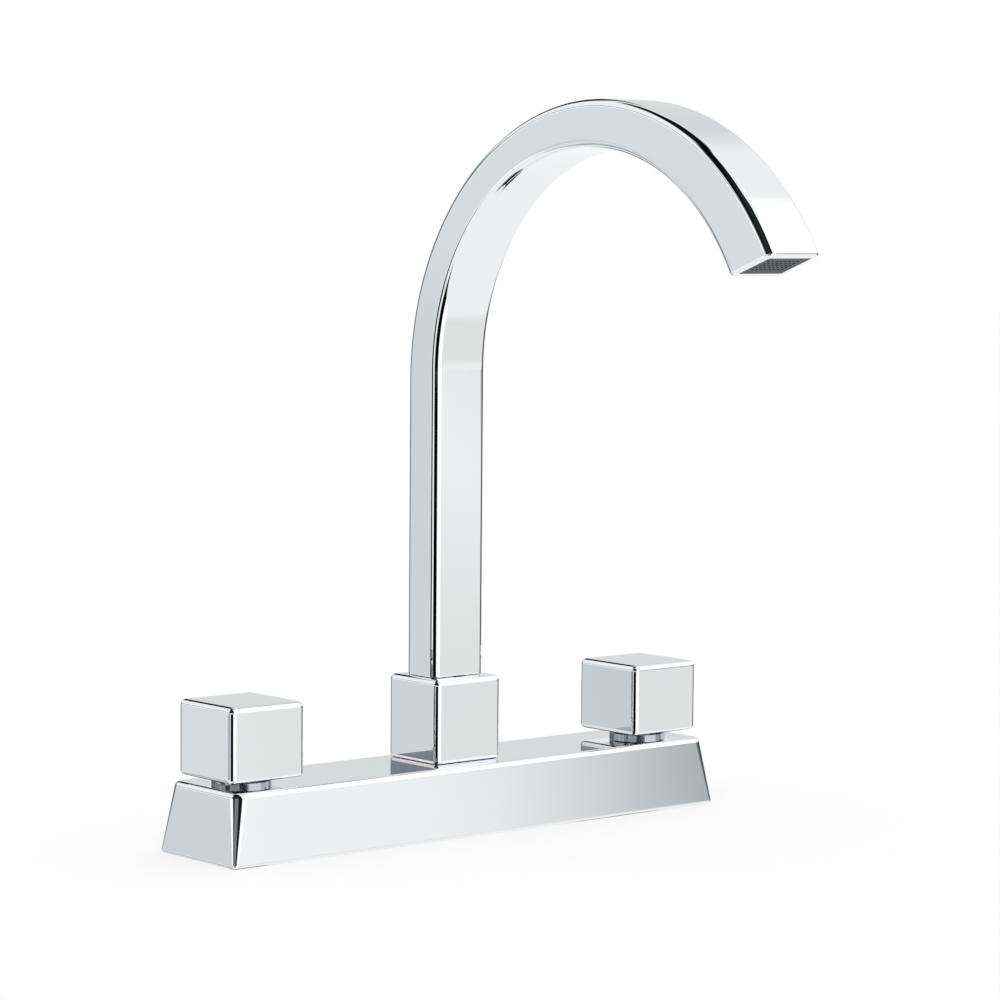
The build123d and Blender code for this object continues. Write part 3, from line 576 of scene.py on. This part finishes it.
# ---------------------------------------------------------------- camera
YAW, PITCH, ROLL = radians(40.26), radians(4.666), radians(0.444)
TARGET = Vector((0.025832, 0.0, 0.129515))
DISTANCE = 1.41162
LENS = 126.9
SENSOR = 36
FAR_METRES = 50

ahead = Vector((sin(YAW) * cos(PITCH), cos(YAW) * cos(PITCH), -sin(PITCH)))
level_right = Vector((cos(YAW), -sin(YAW), 0))
level_up = level_right.cross(ahead)
right = level_right * cos(ROLL) + level_up * sin(ROLL)
up = level_up * cos(ROLL) - level_right * sin(ROLL)
camera_data = bpy.data.cameras.new("camera")
camera_data.lens = LENS
camera_data.sensor_width = SENSOR
camera_data.clip_end = FAR_METRES
camera = bpy.data.objects.new("camera", camera_data)
scene.collection.objects.link(camera)
facing = Matrix((right, up, -ahead)).transposed()
camera.matrix_world = Matrix.Translation(TARGET - ahead * DISTANCE) @ facing.to_4x4()
scene.camera = camera


# ---------------------------------------------------------------- studio
# A white studio. Mirror faces also see its dark flags and bright panels, given here by bearing
# and height in degrees. Bearing is 0 at the faucet's left and 90 at its front; height is above
# the level. A later zone covers an earlier one.
WHITE = (1, 1, 1, 1)
ZONES = (
    # bearing from, to, softness, height from, to, softness, sRGB colour, brightness
    (-154, -100, 9, -6, 56, 5, "#E0E2E3", 1.0),         # pale wall behind, seen in level tops
    (-118, -66, 4, -14, 16, 3, "#6E787B", 1.0),         # grey panel far left, in left outlines
    (-127, -93, 3, 19, 45, 3, "#14181A", 1.0),          # black panel above its far end
    (-97, -25, 4, 50, 60, 3, "#101314", 1.0),           # black beam across to the canopy
    (-85, -52, 5, -45, -17, 4, "#B4B9BB", 1.0),         # grey floor at the left
    (-119, -94, 4, -31, -13, 4, "#454C4F", 1.0),        # dark floor behind it
    (-64, -44, 3, -40, 2.8, 1, "#E8EAEB", 1.0),         # pale wall on the left
    (-57, -50, 1.5, -5.5, -1.4, 1, "#DDDFE1", 1.0),     # a faint stripe on it
    (-52.5, -44, 2, -14, -1.5, 1.5, "#DDE0E2", 1.0),    # its shaded part
    (-49, -44, 1.5, -14, -3, 1.5, "#D3D8DA", 1.0),      # and the shadow at its end
    (-56, -12, 2, 2.8, 10, 1, "#FFFFFF", 1.2),          # bright strip above the wall
    (-104, -8, 3, 8.1, 13, 0.7, "#858C90", 1.0),        # slate rail, seen twice reflected
    (-44, -39, 1.5, -14, 3, 1.5, "#FFFFFF", 1.25),      # bright slit beside the flag
    (-37, -11, 2, -14, -0.5, 1, "#24292C", 1.0),        # low dark flag behind
    (12, 63, 3, -34, -1.5, 1.2, "#040505", 1.0),        # low black flag in front
    (68, 122, 5, -30, 9, 4, "#FFFFFF", 1.3),            # bright panel in front
    (81, 172, 5, 4, 60, 5, "#FFFFFF", 1.3),             # tall bright panel at the right
    (-26, 74, 4, 13, 68, 3, "#0C0F10", 1.0),            # black canopy on the left and in front
    (-100, 48, 6, 57, 91, 3, "#0C0F10", 1.0),           # the ceiling beyond it
    (-165, -94, 6, 66, 91, 3, "#0C0F10", 1.0),          # the ceiling's rear part
    (0, 45, 8, 17, 60, 5, "#262B2D", 1.0),              # the canopy's paler middle
    (-10, 11, 2, 6.5, 16, 1.5, "#08090A", 1.0),         # its lower edge, in leaning corners
    (13, 42, 3, 8, 16, 1.5, "#747C7F", 1.0),            # grey opening in that edge
    (44, 80, 2.5, 5, 16, 1.5, "#16191B", 1.0),          # the edge's right end
    (125, 160, 3, -23, -5.5, 2.2, "#EFF0EF", 1.0),      # pale ledge at the right
    (132.3, 168, 4.4, -3, 9, 1.5, "#70797D", 1.0),      # grey screen above it
    (154, 181, 3, -20, 5, 3, "#4C5457", 1.0),           # dark end of the room, in right outlines
    (-181, -160, 3, -20, 5, 3, "#4C5457", 1.0),         # its other half
)
ROOM_LIGHT = 0.8        # share of the light that comes from all round; the lamp gives the rest
LAMP_SPREAD = radians(50)
LAMP_WAY = Vector((-0.35, -0.3, 1.0)).normalized()
FLOOR_HALF_METRES = 6.0
FLOOR_SHARE = 0.4       # share of the floor's white that the light and the shadow act on


def build_world():
    world = bpy.data.worlds.new("studio")
    scene.world = world
    world.use_nodes = True
    tree = world.node_tree
    tree.nodes.clear()
    x, y, z = add(tree, "SeparateXYZ", add(tree, "TexCoord", out="Generated"), out=slice(3))
    left, front = (add(tree, "Math", at, -1.0, operation="MULTIPLY") for at in (x, y))
    bearing = add(tree, "Math", front, left, operation="ARCTAN2")
    height = add(tree, "Math", z, operation="ARCSINE")
    bearing, height = (add(tree, "Math", at, operation="DEGREES") for at in (bearing, height))
    seen = WHITE
    for low, high, soft, bottom, top, fade, colour, brightness in ZONES:
        inside = 1.0
        for at, edge, blur, ends in (
            (bearing, low, soft, (0.0, 1.0)), (bearing, high, soft, (1.0, 0.0)),
            (height, bottom, fade, (0.0, 1.0)), (height, top, fade, (1.0, 0.0)),
        ):
            share = add(
                tree, "MapRange", at, edge - blur, edge + blur, *ends,
                interpolation_type="SMOOTHSTEP",
            )
            inside = add(tree, "Math", share, inside, operation="MULTIPLY")
        bright = [brightness * channel for channel in linear(colour)]
        seen = add(tree, "Mix", {0: inside, 6: seen, 7: bright}, out=2, data_type="RGBA")
    camera_ray, mirror_ray, clear_ray = (
        add(tree, "LightPath", out=f"Is {kind} Ray") for kind in ("Camera", "Glossy", "Transmission")
    )
    plain = add(tree, "Background", WHITE, ROOM_LIGHT)
    mirrored = add(tree, "Background", seen, 1.0)
    white = add(tree, "Background", WHITE, 1.0)
    lit = add(tree, "MixShader", mirror_ray, plain, mirrored)
    backdrop = add(tree, "Math", camera_ray, clear_ray, operation="MAXIMUM")
    add(tree, "OutputWorld", add(tree, "MixShader", backdrop, lit, white))


build_world()

# A broad soft lamp from the upper left makes up the rest of the light and gives the floor its
# shadow.
lamp_data = bpy.data.lights.new("soft_lamp", "SUN")
lamp_data.angle = LAMP_SPREAD
lamp_data.energy = (1 - ROOM_LIGHT) * pi / LAMP_WAY.z
lamp = bpy.data.objects.new("soft_lamp", lamp_data)
lamp.rotation_euler = LAMP_WAY.to_track_quat("Z", "Y").to_euler()
lamp.visible_glossy = False
scene.collection.objects.link(lamp)

floor_material, floor_tree, _ = bare_material("pale_floor")
matt = add(floor_tree, "BsdfDiffuse", (FLOOR_SHARE, FLOOR_SHARE, FLOOR_SHARE, 1))
glow = add(floor_tree, "Emission", WHITE, 1 - FLOOR_SHARE)
add(floor_tree, "OutputMaterial", add(floor_tree, "AddShader", matt, glow))
floor_mesh = bpy.data.meshes.new("floor")
corners = [
    (x * FLOOR_HALF_METRES, y * FLOOR_HALF_METRES, 0)
    for x, y in ((-1, -1), (1, -1), (1, 1), (-1, 1))
]
floor_mesh.from_pydata(corners, [], [(0, 1, 2, 3)])
floor_mesh.materials.append(floor_material)
floor = bpy.data.objects.new("floor", floor_mesh)
scene.collection.objects.link(floor)
floor.visible_glossy = False
floor.visible_diffuse = False

scene.view_settings.view_transform = "Standard"
